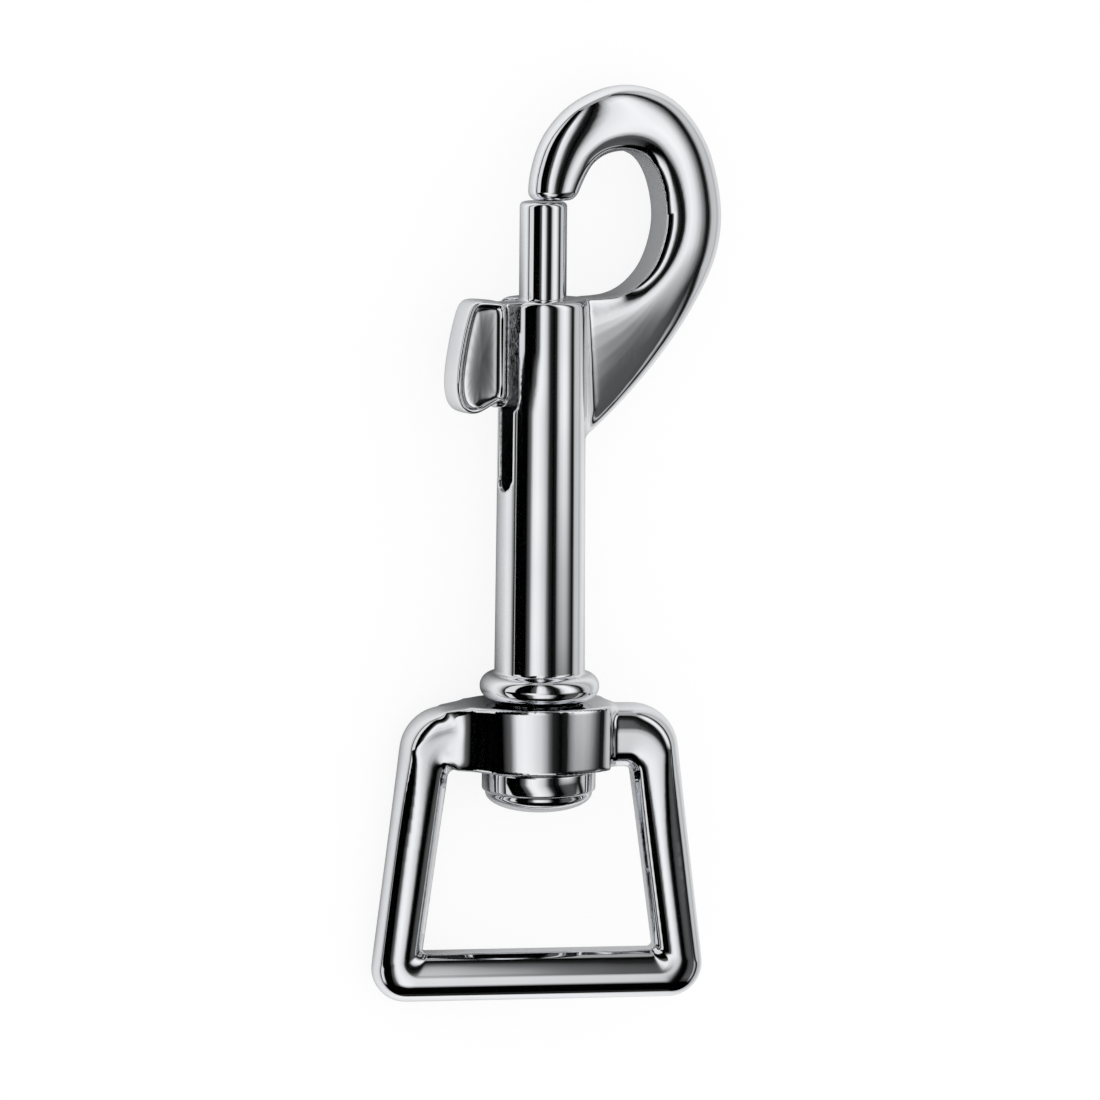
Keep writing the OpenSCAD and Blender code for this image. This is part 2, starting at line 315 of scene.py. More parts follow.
def rollOver(piece, degrees):
    startEdit(piece)
    bpy.ops.mesh.select_all(action="SELECT")
    bpy.ops.transform.rotate(
        value=-math.radians(degrees), orient_axis="Y", center_override=(0, 0, 0))
    endEdit()


def linear(hexColour):
    channels = [int(hexColour[k:k + 2], 16) / 255 for k in (1, 3, 5)]
    return [c / 12.92 if c <= 0.04045 else ((c + 0.055) / 1.055) ** 2.4 for c in channels] + [1]


def addNode(tree, kind, values=None, links=None):
    node = tree.nodes.new(kind)
    for key, value in (values or {}).items():
        if isinstance(key, int) or key in node.inputs:
            node.inputs[key].default_value = value
        else:
            setattr(node, key, value)
    for key, source in (links or {}).items():
        tree.links.new(source, node.inputs[key])
    return node


# Nickel-chrome plate, mirror polished: near white metal with a slight blue cast. The casting
# under it leaves a faint swell in the reflections, and buffing leaves fine streaks along Y.
def mirrorChrome(name, look):
    material = bpy.data.materials.new(name)
    material.use_nodes = True
    tree = material.node_tree
    tree.nodes.clear()
    coords = addNode(tree, "ShaderNodeTexCoord").outputs["Object"]
    swell = addNode(tree, "ShaderNodeTexNoise", {
        "Scale": 1 / mm(look["swellSize"]), "Detail": 1.0, "Roughness": 0.4}, {"Vector": coords})
    along = addNode(tree, "ShaderNodeMapping", {
        "Scale": (1 / mm(look["streakWidth"]), 1 / mm(look["streakLength"]),
                  1 / mm(look["streakWidth"]))}, {"Vector": coords})
    streaks = addNode(tree, "ShaderNodeTexNoise", {"Scale": 1.0, "Detail": 3.0},
                      {"Vector": along.outputs["Vector"]})
    roughness = addNode(tree, "ShaderNodeMapRange", {
        "From Min": 0.35, "From Max": 0.75, "To Min": look["roughLow"],
        "To Max": look["roughHigh"]}, {"Value": streaks.outputs["Fac"]})
    plate = addNode(tree, "ShaderNodeMix", {
        "data_type": "RGBA", 6: linear(look["plate"]), 7: linear(look["plateDeep"])},
        {0: swell.outputs["Fac"]})
    wave = addNode(tree, "ShaderNodeBump", {
        "Strength": 1.0, "Distance": mm(look["swellDepth"])}, {"Height": swell.outputs["Fac"]})
    colour, rough, normal = plate.outputs[2], roughness.outputs["Result"], wave.outputs["Normal"]
    if look.get("castAndShadeRadius"):
        # inside the barrel and on the web the plate is thin over rough casting, which gives the
        # lumps and roughness there; the darker colour there is painted shade
        split = addNode(tree, "ShaderNodeSeparateXYZ", links={"Vector": coords})
        flat = addNode(tree, "ShaderNodeCombineXYZ", links={
            "X": split.outputs["X"], "Z": split.outputs["Z"]})
        radius = addNode(tree, "ShaderNodeVectorMath", {"operation": "LENGTH"},
                         {0: flat.outputs["Vector"]})
        inside = addNode(tree, "ShaderNodeMapRange", {
            "From Min": mm(look["castAndShadeRadius"]), "From Max": mm(look["castAndShadeRadius"] - 0.2),
            "To Min": 0.0, "To Max": 1.0}, {"Value": radius.outputs["Value"]})
        below = addNode(tree, "ShaderNodeMapRange", {
            "From Min": mm(look["castAndShadeTop"]), "From Max": mm(look["castAndShadeTop"] - 0.3),
            "To Min": 0.0, "To Max": 1.0}, {"Value": split.outputs["Y"]})
        outwards = addNode(tree, "ShaderNodeMapRange", {
            "From Min": mm(look["castAndShadeCore"]), "From Max": mm(look["castAndShadeCore"] + 0.1),
            "To Min": 0.0, "To Max": 1.0}, {"Value": radius.outputs["Value"]})
        both = addNode(tree, "ShaderNodeMath", {"operation": "MULTIPLY"}, {
            0: inside.outputs["Result"], 1: below.outputs["Result"]})
        roughCastAndShade = addNode(tree, "ShaderNodeMath", {"operation": "MULTIPLY"}, {
            0: both.outputs["Value"], 1: outwards.outputs["Result"]})
        lumps = addNode(tree, "ShaderNodeTexNoise", {
            "Scale": 1 / mm(look["lumpSize"]), "Detail": 5.0, "Roughness": 0.65},
            {"Vector": coords})
        # painted shade: inside this mask the colour turns to the darker grey
        roughCastAndShadeColour = addNode(tree, "ShaderNodeMix", {"data_type": "RGBA", 7: linear(look["roughCastAndShade"])},
                            {0: roughCastAndShade.outputs["Value"], 6: colour})
        rawRough = addNode(tree, "ShaderNodeMix", {3: look["rawRough"]},
                           {0: roughCastAndShade.outputs["Value"], 2: rough})
        rawDepth = addNode(tree, "ShaderNodeMath", {"operation": "MULTIPLY"}, {
            0: roughCastAndShade.outputs["Value"], 1: lumps.outputs["Fac"]})
        bumps = addNode(tree, "ShaderNodeBump", {
            "Strength": 1.0, "Distance": mm(look["lumpDepth"])},
            {"Height": rawDepth.outputs["Value"], "Normal": normal})
        colour, rough, normal = (
            roughCastAndShadeColour.outputs[2], rawRough.outputs[0], bumps.outputs["Normal"])
    shader = addNode(tree, "ShaderNodeBsdfPrincipled", {"Metallic": 1.0}, {
        "Base Color": colour, "Roughness": rough, "Normal": normal})
    addNode(tree, "ShaderNodeOutputMaterial", links={"Surface": shader.outputs["BSDF"]})
    return material


chromeLook = {
    "plate": "#F4F5F7", "plateDeep": "#E4E6EA", "swellSize": 7, "swellDepth": 0.012,
    "streakWidth": 0.35, "streakLength": 6, "roughLow": 0.02, "roughHigh": 0.06,
}
# Inside the barrel, below the mouth: rough casting, plus a near black colour that is painted shade
# of the bore and slot
roughCastAndShadeLook = {
    "roughCastAndShade": "#2E2E30", "rawRough": 0.3, "castAndShadeRadius": 4.4, "castAndShadeTop": 72.2, "castAndShadeCore": 0,
    "lumpSize": 0.9, "lumpDepth": 0.25,
}


body = {
    "bore": 2.56, "socket": 3.1, "seat": 35.05, "base": 29.65, "neck": 4.9,
    "beadR": 4.95, "beadY": 31.25, "beadRound": 1.4, "barrelLow": 4.8, "barrelMouth": 4.55,
    "mouth": 72.55, "mouthEdge": 0.8, "boreEdge": 0.22,
    "slotWidth": 2.9, "slotBase": 52.25, "mouthSlotWidth": 4.4, "mouthSlotBase": 60.25,
    "halfThick": 2.8, "roll": 6, "noseEdge": 0.85, "crest": -0.24,
}

profile = [(body["neck"], body["base"])]
profile += arc(body["beadR"], body["beadY"], body["beadRound"], -88, 94, 28)
profile += [(body["barrelLow"], body["beadY"] + 1.55)]
rise = body["mouth"] - body["mouthEdge"] - profile[-1][1]
for k in range(1, 21):
    share = k / 20
    profile.append((
        body["barrelLow"] + (body["barrelMouth"] - body["barrelLow"]) * share,
        body["beadY"] + 1.55 + rise * share))
profile += arc(body["barrelMouth"] - body["mouthEdge"], body["mouth"] - body["mouthEdge"],
               body["mouthEdge"], 12, 90, 7)
profile += arc(body["bore"] + body["boreEdge"], body["mouth"] - body["boreEdge"],
               body["boreEdge"], 90, 180, 5)
profile += [(body["bore"], body["seat"]), (body["socket"], body["seat"]),
            (body["socket"], body["base"])]
barrel = turned("barrel", profile, 128, True)


# The slot's cutter: a block whose lower end is rounded by a bevel
def slotCutter(width, base):
    top = body["mouth"] + 2
    putDown()
    bpy.ops.mesh.primitive_cube_add(
        size=1, location=place(-5, (base + top) / 2), scale=place(10, top - base, width))
    cutter = bpy.context.object
    bpy.ops.object.transform_apply(location=True, scale=True)
    startEdit(cutter, "EDGE")
    pickEdges(cutter, lambda a, b: abs(a.y - base) < 0.01 and abs(b.y - base) < 0.01
              and abs(a.x - b.x) > 1)
    bpy.ops.mesh.bevel(offset=mm(width * 0.498), segments=12, affect="EDGES")
    endEdit()
    return cutter


cutAway(barrel, slotCutter(body["slotWidth"], body["slotBase"]))
cutAway(barrel, slotCutter(body["mouthSlotWidth"], body["mouthSlotBase"]))
print("stage: barrel turned and slotted")

# Section of the hook: flat inside, a steep shoulder, a full round outside
hookSection = [(-1, 0), (-1, 0.3), (-1, 0.6), (-0.94, 0.72), (-0.82, 0.85), (-0.62, 0.94)]
hookSection += [(body["crest"] + (1 - body["crest"]) * math.sin(a), math.cos(a) ** 0.88)
                for a in (math.radians(22.5 * k) for k in range(0, 5))]
hookSection += [(radial, -through) for radial, through in hookSection[-2:0:-1]]

# Stations above the mouth: inner x, y, outer x, y, then the shares of the thickness, of the
# outer round, and of the thickness at the rim
hookStations = [
    [3.0, 10.3, -1.6, 10.3, 0.84, 1, 1],
    [4.0, 12.5, -1.45, 13.1, 0.9, 1, 1],
    [5.1, 14.2, 0.1, 17.2, 0.96, 1, 1],
    [6.9, 15.2, 3.9, 20.8, 1, 1, 1],
    [9.3, 15.35, 9.6, 22.4, 1, 1, 1],
    [11.6, 14.5, 15.4, 20.7, 1, 1, 1],
    [13.1, 12.3, 19.5, 15.9, 1, 1.05, 1],
    [13.9, 9.0, 21.3, 9.6, 1, 1.12, 1],
    [13.7, 6.2, 21.1, 4.9, 1, 1.15, 1],
    [12.6, 3.3, 19.6, 1.0, 0.99, 1.1, 0.95],
    [10.8, 1.3, 16.9, -3.3, 0.97, 0.88, 0.87],
    [8.8, 0.25, 13.7, -7.2, 0.95, 0.62, 0.78],
    [6.9, -0.05, 10.2, -10.7, 0.91, 0.38, 0.7],
    [5.0, -0.12, 6.9, -13.6, 0.86, 0.29, 0.64],
    [3.2, -0.3, 3.6, -16.1, 0.8, 0.25, 0.6],
]


# Rows made finer: places run along a smooth curve through them, and shares run past them
# more gently, so that no row shows in the reflections
def finer(rows, steps):
    result = []
    for i in range(len(rows) - 1):
        a, b = rows[max(i - 1, 0)], rows[i]
        c, d = rows[i + 1], rows[min(i + 2, len(rows) - 1)]
        for k in range(steps):
            s = k / steps
            through = (-s / 2 + s * s - s ** 3 / 2, 1 - 2.5 * s * s + 1.5 * s ** 3,
                       s / 2 + 2 * s * s - 1.5 * s ** 3, (s ** 3 - s * s) / 2)
            past = ((1 - s) ** 3 / 6, (3 * s ** 3 - 6 * s * s + 4) / 6,
                    (-3 * s ** 3 + 3 * s * s + 3 * s + 1) / 6, s ** 3 / 6)
            result.append([
                sum(w * v for w, v in zip(through if n < 4 else past, values))
                for n, values in enumerate(zip(a, b, c, d))])
    return result + [rows[-1]]


stations = [
    [r[0], body["mouth"] + r[1], r[2], body["mouth"] + r[3], r[4] * body["halfThick"], *r[5:]]
    for r in finer(hookStations, 3)]
hook = swept("hook", hookSection, body["crest"], stations, False)
startEdit(hook, "EDGE")  # the flat inner face keeps its two crisp edges
mesh = bmesh.from_edit_mesh(hook.data)
for edge in mesh.edges:
    ends = [vert.index % len(hookSection) for vert in edge.verts]
    edge.select_set(ends[0] == ends[1] and ends[0] in (2, len(hookSection) - 2))
bmesh.update_edit_mesh(hook.data)
bpy.ops.transform.edge_crease(value=0.8)
noseY = body["mouth"] + hookStations[0][1]
pickEdges(hook, lambda a, b: abs(a.y - noseY) < 0.02 and abs(b.y - noseY) < 0.02)
bpy.ops.mesh.bevel(offset=mm(body["noseEdge"]), segments=3, affect="EDGES")
endEdit()
applyModifier(hook, "SUBSURF", levels=2, render_levels=2)
print("stage: hook swept")


# The seam with the barrel has a wide fillet down the wedge, small at the mouth and at its foot
def seamWidth(point):
    down = (body["mouth"] - point.y) / 12
    return 0.6 + 1.5 * min(max(down, 0), 1) - 1.3 * min(max(down * 3 - 3, 0), 1)


snapBody = castTogether("snapBody", [barrel, hook], {
    "grain": 0.2, "edge": 0.25, "meet": seamWidth, "rounds": 40,
    "filled": lambda point: seamWidth(point) / 4 if math.hypot(point.x, point.z) > 3.5 else 0.0,
    "edgeRounds": 3})
rollOver(snapBody, body["roll"])
snapBody.data.materials.clear()
snapBody.data.materials.append(mirrorChrome("chromePlatedCasting", {**chromeLook, **roughCastAndShadeLook}))
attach(snapBody, "hook")
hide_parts("snap_body")
print("stage: snap body cast,", len(snapBody.data.polygons), "faces")


bolt = {
    "radius": 2.5, "base": 58.75, "top": 82.75, "edge": 0.5, "spigot": 1.3, "spigotLow": 56.75,
    "webHalf": 1.3, "webBase": 61.25, "webTop": 72.3, "webReach": 5.9,
    "bandHalf": 1.25, "roll": 6,
}
boltProfile = [(0, bolt["spigotLow"]), (bolt["spigot"] - 0.2, bolt["spigotLow"]),
               (bolt["spigot"], bolt["spigotLow"] + 0.2), (bolt["spigot"], bolt["base"]),
               (bolt["radius"] - 0.2, bolt["base"]), (bolt["radius"], bolt["base"] + 0.2)]
boltProfile += arc(bolt["radius"] - bolt["edge"], bolt["top"] - bolt["edge"], bolt["edge"],
                   0, 90, 7)
boltProfile += [(0, bolt["top"])]
rod = turned("rod", boltProfile, 96, False)

putDown()
bpy.ops.mesh.primitive_cube_add(
    size=1, location=place(-bolt["webReach"] / 2, (bolt["webBase"] + bolt["webTop"]) / 2),
    scale=place(bolt["webReach"], bolt["webTop"] - bolt["webBase"], 2 * bolt["webHalf"]))
web = bpy.context.object
bpy.ops.object.transform_apply(location=True, scale=True)
startEdit(web, "EDGE")
pickEdges(web, lambda a, b: abs(a.y - bolt["webBase"]) < 0.01
          and abs(b.y - bolt["webBase"]) < 0.01 and abs(a.x - b.x) > 1)
bpy.ops.mesh.bevel(offset=mm(1.28), segments=10, affect="EDGES")
endEdit()

# Outline of the thumb tab, anticlockwise from its top corner beside the barrel
tabOutline = [
    (-5.1, 72.45), (-6.2, 72.6), (-7.5, 72.75), (-8.6, 72.8), (-9.3, 72.25), (-9.7, 71.2),
    (-10.15, 69.6), (-10.5, 68.0), (-10.8, 66.3), (-11.0, 64.6), (-10.95, 63.0),
    (-10.6, 61.8), (-9.9, 61.0), (-8.9, 60.72), (-7.9, 60.95), (-6.9, 61.5), (-6.0, 61.9),
    (-5.1, 62.0), (-5.1, 63.9), (-5.1, 66.0), (-5.1, 68.2), (-5.1, 70.4),
]
tab = cutPlate("tab", [place(x, y, -bolt["bandHalf"]) for x, y in tabOutline],
               place(0, 0, 2 * bolt["bandHalf"]))
# a rounded rim, then the wide hollow for the thumb, whose floor rises towards the barrel
for side in (1, -1):
    startEdit(tab, "FACE")
    mesh = bmesh.from_edit_mesh(tab.data)
    for face in mesh.faces:
        face.select_set(face.normal.z * side > 0.9)
    bmesh.update_edit_mesh(tab.data)
    for width, depth, lean in (
            (0.1, 0.3, 0), (0.16, 0.18, 0), (0.14, 0.02, 0), (0.12, -0.12, 0), (0.16, -0.28, -1),
            (0.25, -0.1, -3), (0.4, -0.06, -4)):
        bpy.ops.mesh.inset(thickness=mm(width), depth=mm(depth), use_outset=False)
        mesh = bmesh.from_edit_mesh(tab.data)
        floor = [face for face in mesh.faces if face.select][0]
        bpy.ops.transform.rotate(
            value=-math.radians(side * lean), orient_axis="Y",
            center_override=floor.calc_center_median())
    endEdit()
applyModifier(tab, "SUBSURF", levels=3, render_levels=3)
tidyShell(tab)

latchBolt = castTogether("latchBolt", [rod, web, tab], {
    "grain": 0.15, "edge": 0.2, "meet": lambda point: 0.4, "filled": lambda point: 0.1, "rounds": 14,
    "edgeRounds": 2})
rollOver(latchBolt, bolt["roll"])
latchBolt.data.materials.clear()
# On the web the duller grey is partly the rough casting and partly painted shade of the slot around
# it
latchBolt.data.materials.append(mirrorChrome("chromePlatedBolt", {
    **chromeLook, **roughCastAndShadeLook, "roughCastAndShade": "#B4B5B8", "castAndShadeRadius": 5.0, "castAndShadeCore": 2.6,
    "rawRough": 0.22, "lumpSize": 1.3, "lumpDepth": 0.6}))
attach(latchBolt, "bolt")
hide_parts("latch_bolt")
print("stage: bolt cast,", len(latchBolt.data.polygons), "faces")


rivet = {"shank": 3.1, "seat": 35.05, "headTop": 22.45, "side": 2.4, "radius": 6.05,
         "dome": 2.2, "rim": 0.35, "roll": 6}
sideLow = rivet["headTop"] - rivet["side"]
rivetProfile = [(0, sideLow - rivet["dome"])]
for k in range(1, 17):
    a = math.radians(90 * k / 16)
    rivetProfile.append((
        (rivet["radius"] - rivet["rim"]) * math.sin(a) ** 0.9,
        sideLow - (rivet["dome"] - 0.1) * math.cos(a) ** 0.9 - 0.1))
rivetProfile += arc(rivet["radius"] - rivet["rim"], sideLow + rivet["rim"], rivet["rim"],
                    -80, 0, 6)
rivetProfile += arc(rivet["radius"] - 0.3, rivet["headTop"] - 0.3, 0.3, 0, 90, 5)
rivetProfile += [(rivet["shank"], rivet["headTop"]), (rivet["shank"], rivet["seat"] - 0.2),
                 (rivet["shank"] - 0.2, rivet["seat"]), (0, rivet["seat"])]
swivelRivet = turned("swivelRivet", rivetProfile, 128, False)
rollOver(swivelRivet, rivet["roll"])
takeUp(swivelRivet)
bpy.ops.object.shade_smooth_by_angle(angle=math.radians(30))
swivelRivet.data.materials.clear()
swivelRivet.data.materials.append(mirrorChrome("chromePlatedRivet", chromeLook))
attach(swivelRivet, "hook")
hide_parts("swivel_rivet")
print("stage: rivet turned")


eye = {
    "strap": 25, "height": 19.9, "narrow": 5.4, "bar": 5.5, "low": 2.7, "top": 6.7,
    "halfThick": 2.6, "innerLow": 0.4, "innerHigh": 0.9, "outerLow": 3.6, "outerHigh": 5.0,
    "crest": -0.08, "squared": 0.55, "liftOver": 8.0, "bossHalf": 6.9, "bossHalfWide": 7.1, "bossFace": 10, "armHalf": 3.1,
    "armRound": 6.0, "bossLow": 22.6, "bossTop": 29.5, "bore": 3.25,
    "turn": -14,
}


# Points round an outline whose corners, given as x, y and radius, are rounded
def rounded(corners, steps):
    points = []
    for i, (x, y, radius) in enumerate(corners):
        here = Vector((x, y))
        back = (Vector(corners[i - 1][:2]) - here).normalized()
        ahead = (Vector(corners[(i + 1) % len(corners)][:2]) - here).normalized()
        half = back.angle(ahead) / 2
        centre = here + (back + ahead).normalized() * radius / math.sin(half)
        first = here + back * radius / math.tan(half) - centre
        last = here + ahead * radius / math.tan(half) - centre
        for k in range(steps + 1):
            points.append(centre + first.lerp(last, k / steps).normalized() * radius)
    return points


slope = eye["narrow"] / 2 / eye["height"]
halfLow, halfHigh = eye["strap"] / 2, (eye["strap"] - eye["narrow"]) / 2
high = eye["low"] + eye["height"] + eye["top"]
outLow = halfLow + eye["bar"] + slope * eye["low"]
outHigh = halfHigh + eye["bar"] - slope * eye["top"]
cornerSteps = 7
inner = rounded([
    (-halfLow, eye["low"], eye["innerLow"]),
    (-halfHigh, eye["low"] + eye["height"], eye["innerHigh"]),
    (halfHigh, eye["low"] + eye["height"], eye["innerHigh"]),
    (halfLow, eye["low"], eye["innerLow"])], cornerSteps)
outer = rounded([
    (-outLow, -eye["low"], eye["outerLow"]), (-outHigh, high, eye["outerHigh"]),
    (outHigh, high, eye["outerHigh"]), (outLow, -eye["low"], eye["outerLow"])], cornerSteps)
# Rings round each corner, and four more along each straight bar. The top bar is thicker and
# squarer than the rest, and changes as it nears its two corners.
loopStations = []
for i in range(len(inner)):
    following = (i + 1) % len(inner)
    corner, step = divmod(i, cornerSteps + 1)
    shares = (0, 0.1, 0.35, 0.65, 0.9) if step == cornerSteps else (0,)
    for share in shares:
        ringInner = inner[i].lerp(inner[following], share)
        ringOuter = outer[i].lerp(outer[following], share)
        below = eye["low"] + eye["height"] - (ringOuter.y + ringInner.y) / 2
        lift = min(max(1 - (below + eye["bar"] / 2) / eye["liftOver"], 0), 1)
        lift = lift * lift * (3 - 2 * lift)
        loopStations.append([
            *ringInner, *ringOuter,
            eye["halfThick"] + (eye["armHalf"] - eye["halfThick"]) * lift,
            1 - (1 - eye["squared"]) * lift, 1])
loopSection = [(-1, 0), (-1, 0.42), (-0.88, 0.56), (-0.72, 0.76), (-0.45, 0.92)]
loopSection += [(eye["crest"] + (1 - eye["crest"]) * math.sin(a), math.cos(a))
                for a in (math.radians(22.5 * k) for k in range(0, 5))]
loopSection += [(radial, -through) for radial, through in loopSection[-2:0:-1]]
loop = swept("loop", loopSection, eye["crest"], loopStations, True)
startEdit(loop, "EDGE")
mesh = bmesh.from_edit_mesh(loop.data)
for edge in mesh.edges:
    ends = [vert.index % len(loopSection) for vert in edge.verts]
    edge.select_set(ends[0] == ends[1] and ends[0] in (1, len(loopSection) - 1))
bmesh.update_edit_mesh(loop.data)
bpy.ops.transform.edge_crease(value=0.9)
endEdit()
applyModifier(loop, "SUBSURF", levels=2, render_levels=2)

# The boss is an oval whose faces are large arcs. The left arm runs in by a wide fillet and the
# right one meets it in a corner. Its ends stay inside the bar. The front half is drawn first.
faceBack = eye["bossFace"] - eye["bossHalf"]
filletZ = eye["armHalf"] + eye["armRound"] - 0.2
filletX = math.sqrt((eye["bossFace"] + eye["armRound"]) ** 2 - (faceBack + filletZ) ** 2)
filletEnd = math.degrees(math.asin(filletX / (eye["bossFace"] + eye["armRound"])))
faceEnd = math.degrees(math.asin(eye["bossHalfWide"] / eye["bossFace"]))
armEnd = 1.0
front = [(-filletX - 0.2, armEnd)]
front += [(x - filletX, z) for x, z in arc(0, filletZ, eye["armRound"], -90,
                                           -90 + filletEnd, 24)]
front += arc(0, -faceBack, eye["bossFace"], 90 + filletEnd, 90 - faceEnd, 64)[1:]
front += [(eye["bossHalfWide"] + 0.2, eye["armHalf"]), (eye["bossHalfWide"] + 0.5, armEnd)]
outline = front + [(x, -z) for x, z in reversed(front)]
boss = cutPlate("boss", [place(x, eye["bossLow"], z) for x, z in outline],
                place(0, eye["bossTop"] - eye["bossLow"], 0))

# It is a little thinner at the top, and its left end is cut off along the loop's corner
startEdit(boss)
pickVerts(boss, lambda p: p.y > eye["bossTop"] - 0.1)
bpy.ops.transform.resize(value=(1, 1, 0.95), center_override=(0, 0, 0))
for x, y, lean in ((0.5 - halfHigh, eye["bossLow"], math.atan2(-4, -3)),
                   (-eye["bossHalfWide"], eye["bossTop"], math.radians(98))):
    bpy.ops.mesh.select_all(action="SELECT")
    bpy.ops.mesh.bisect(
        plane_co=place(x, y), plane_no=(math.cos(lean), math.sin(lean), 0),
        use_fill=True, clear_outer=True)
endEdit()
tidyShell(boss)
cutterProfile = [(0, 15), (eye["bore"], 15), (eye["bore"], 35), (0, 35)]
for shell in (loop, boss):
    cutAway(shell, turned("drill", cutterProfile, 128, False))
print("stage: eye swept")

swivelEye = castTogether("swivelEye", [loop, boss], {
    "grain": 0.18, "edge": 0.45, "meet": lambda point: 2.0 if point.x < -5 else 0.8,
    "filled": lambda point: 0.2 if point.x > 6.3 else 0.0, "rounds": 50, "edgeRounds": 6})
rollOver(swivelEye, eye["turn"])
swivelEye.data.materials.clear()
swivelEye.data.materials.append(mirrorChrome("chromePlatedEye", chromeLook))
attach(swivelEye, "eye")
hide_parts("swivel_eye")
print("stage: eye cast,", len(swivelEye.data.polygons), "faces")


spring = {"wire": 0.25, "coil": 2.11, "low": 35.3, "high": 58.5, "turns": 12, "roll": 6}
putDown()
bpy.ops.mesh.primitive_circle_add(
    vertices=12, radius=mm(spring["wire"]), fill_type="NOTHING",
    location=place(spring["coil"], spring["low"]))
coil = bpy.context.object
coil.name = "boltSpring"
bpy.ops.object.transform_apply(location=True)
rise = spring["high"] - spring["low"]
applyModifier(coil, "SCREW", axis="Y", angle=math.tau, iterations=spring["turns"], steps=32,
              render_steps=32, screw_offset=mm(rise / spring["turns"]), use_merge_vertices=True)
startEdit(coil)
bpy.ops.mesh.select_all(action="DESELECT")
bpy.ops.mesh.select_non_manifold()
bpy.ops.mesh.fill_holes(sides=12)
endEdit()
tidyShell(coil)
rollOver(coil, spring["roll"])
takeUp(coil)
bpy.ops.object.shade_smooth()

# Patented drawn spring wire with a bright zinc wash: greyer and duller than the plate
coil.data.materials.clear()
coil.data.materials.append(mirrorChrome("drawnSpringWire", {
    **chromeLook, "plate": "#B4B6BA", "plateDeep": "#8E9094", "roughLow": 0.22,
    "roughHigh": 0.38, "swellSize": 2, "streakWidth": 0.2, "streakLength": 0.2}))
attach(coil, "hook")
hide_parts("bolt_spring")
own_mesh(coil)
print("stage: spring wound")


studio = {
    "tentRadius": 300, "tentLength": 2400, "tentPower": 1.08, "lowGlow": 0.02,
    "highGlow": 0.4,
    "floorSize": 4.0, "shadowKept": 0.13, "contact": 16, "contactShadeTone": "#303133",
}
# Strips of the light tent round the object's long axis: angle from straight up, towards the
# bulge, and the brightness there. Black gaps between them draw the dark lines in the plate.
tent = [
    (-180, 0.75), (-91, 0.75), (-89, 0.0), (-60, 0.0), (-56, 0.05), (-50, 0.12), (-46, 0.5),
    (-42, 0.85), (-34, 0.94), (-26, 0.88), (-14, 0.66), (-9, 0.44), (-4, 0.13), (0, 0.02),
    (9, 0.0), (17, 0.02), (22, 0.45), (28, 0.82), (39, 1.0), (47, 0.88), (52, 0.6), (58, 0.22),
    (63, 0.01), (69, 0.01), (76, 0.55), (90, 0.6), (180, 0.6),
]
# Along the long axis, in millimetres: the bulge side fades towards the eye, and both ends stop
sideFade = [(-300, 0.12), (-50, 0.08), (-18, 0.09), (-10, 0.32), (-4, 0.45), (28, 0.93),
            (80, 1.0)]
endFade = [(-300, 0.0), (-215, 1.0), (420, 1.0), (900, 0.4)]
# The paper seen in the plate, from left to right in millimetres, as painted light falloff: dark far
# out on the left
paperLightFalloff = [(-100, 0.02), (-57, 0.3), (-33, 0.72), (-18, 0.92), (12, 0.92), (35, 0.74),
              (60, 0.55), (100, 0.48)]


# A grey ramp over a range of values, with its stops at the given places
def greyRamp(tree, source, low, high, stops):
    share = addNode(tree, "ShaderNodeMapRange", {"From Min": low, "From Max": high},
                    {"Value": source})
    ramp = addNode(tree, "ShaderNodeValToRGB", links={"Fac": share.outputs["Result"]})
    marks = ramp.color_ramp.elements
    for k, (at, bright) in enumerate(stops):
        mark = marks[k] if k < 2 else marks.new(1)
        mark.position = (at - low) / (high - low)
        mark.color = (bright, bright, bright, 1)
    return ramp.outputs["Color"]


# Open tube of diffusing cloth round the object, seen only in its reflections
putDown()
bpy.ops.mesh.primitive_cylinder_add(
    vertices=180, radius=mm(studio["tentRadius"]), depth=mm(studio["tentLength"]),
    end_fill_type="NOTHING", rotation=(math.pi / 2, 0, 0))
cloth = bpy.context.object
cloth.name = "lightTent"
bpy.ops.object.transform_apply(rotation=True)
bpy.ops.object.shade_smooth()
cloth.visible_camera = False
cloth.visible_diffuse = False
cloth.visible_shadow = False
cloth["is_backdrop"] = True
glowCloth = bpy.data.materials.new("litTentCloth")
glowCloth.use_nodes = True
tree = glowCloth.node_tree
tree.nodes.clear()
coords = addNode(tree, "ShaderNodeTexCoord").outputs["Object"]
split = addNode(tree, "ShaderNodeSeparateXYZ", links={"Vector": coords})
angle = addNode(tree, "ShaderNodeMath", {"operation": "ARCTAN2"}, {
    0: split.outputs["X"], 1: split.outputs["Z"]})
degrees = addNode(tree, "ShaderNodeMath", {"operation": "DEGREES"}, {0: angle.outputs["Value"]})
# the strips lean a little towards the eye's end, where they reach over the middle
lean = addNode(tree, "ShaderNodeMapRange", {
    "From Min": mm(-60), "From Max": mm(-15), "To Min": 12.0, "To Max": 0.0},
    {"Value": split.outputs["Y"]})
leaned = addNode(tree, "ShaderNodeMath", {"operation": "SUBTRACT"}, {
    0: degrees.outputs["Value"], 1: lean.outputs["Result"]})
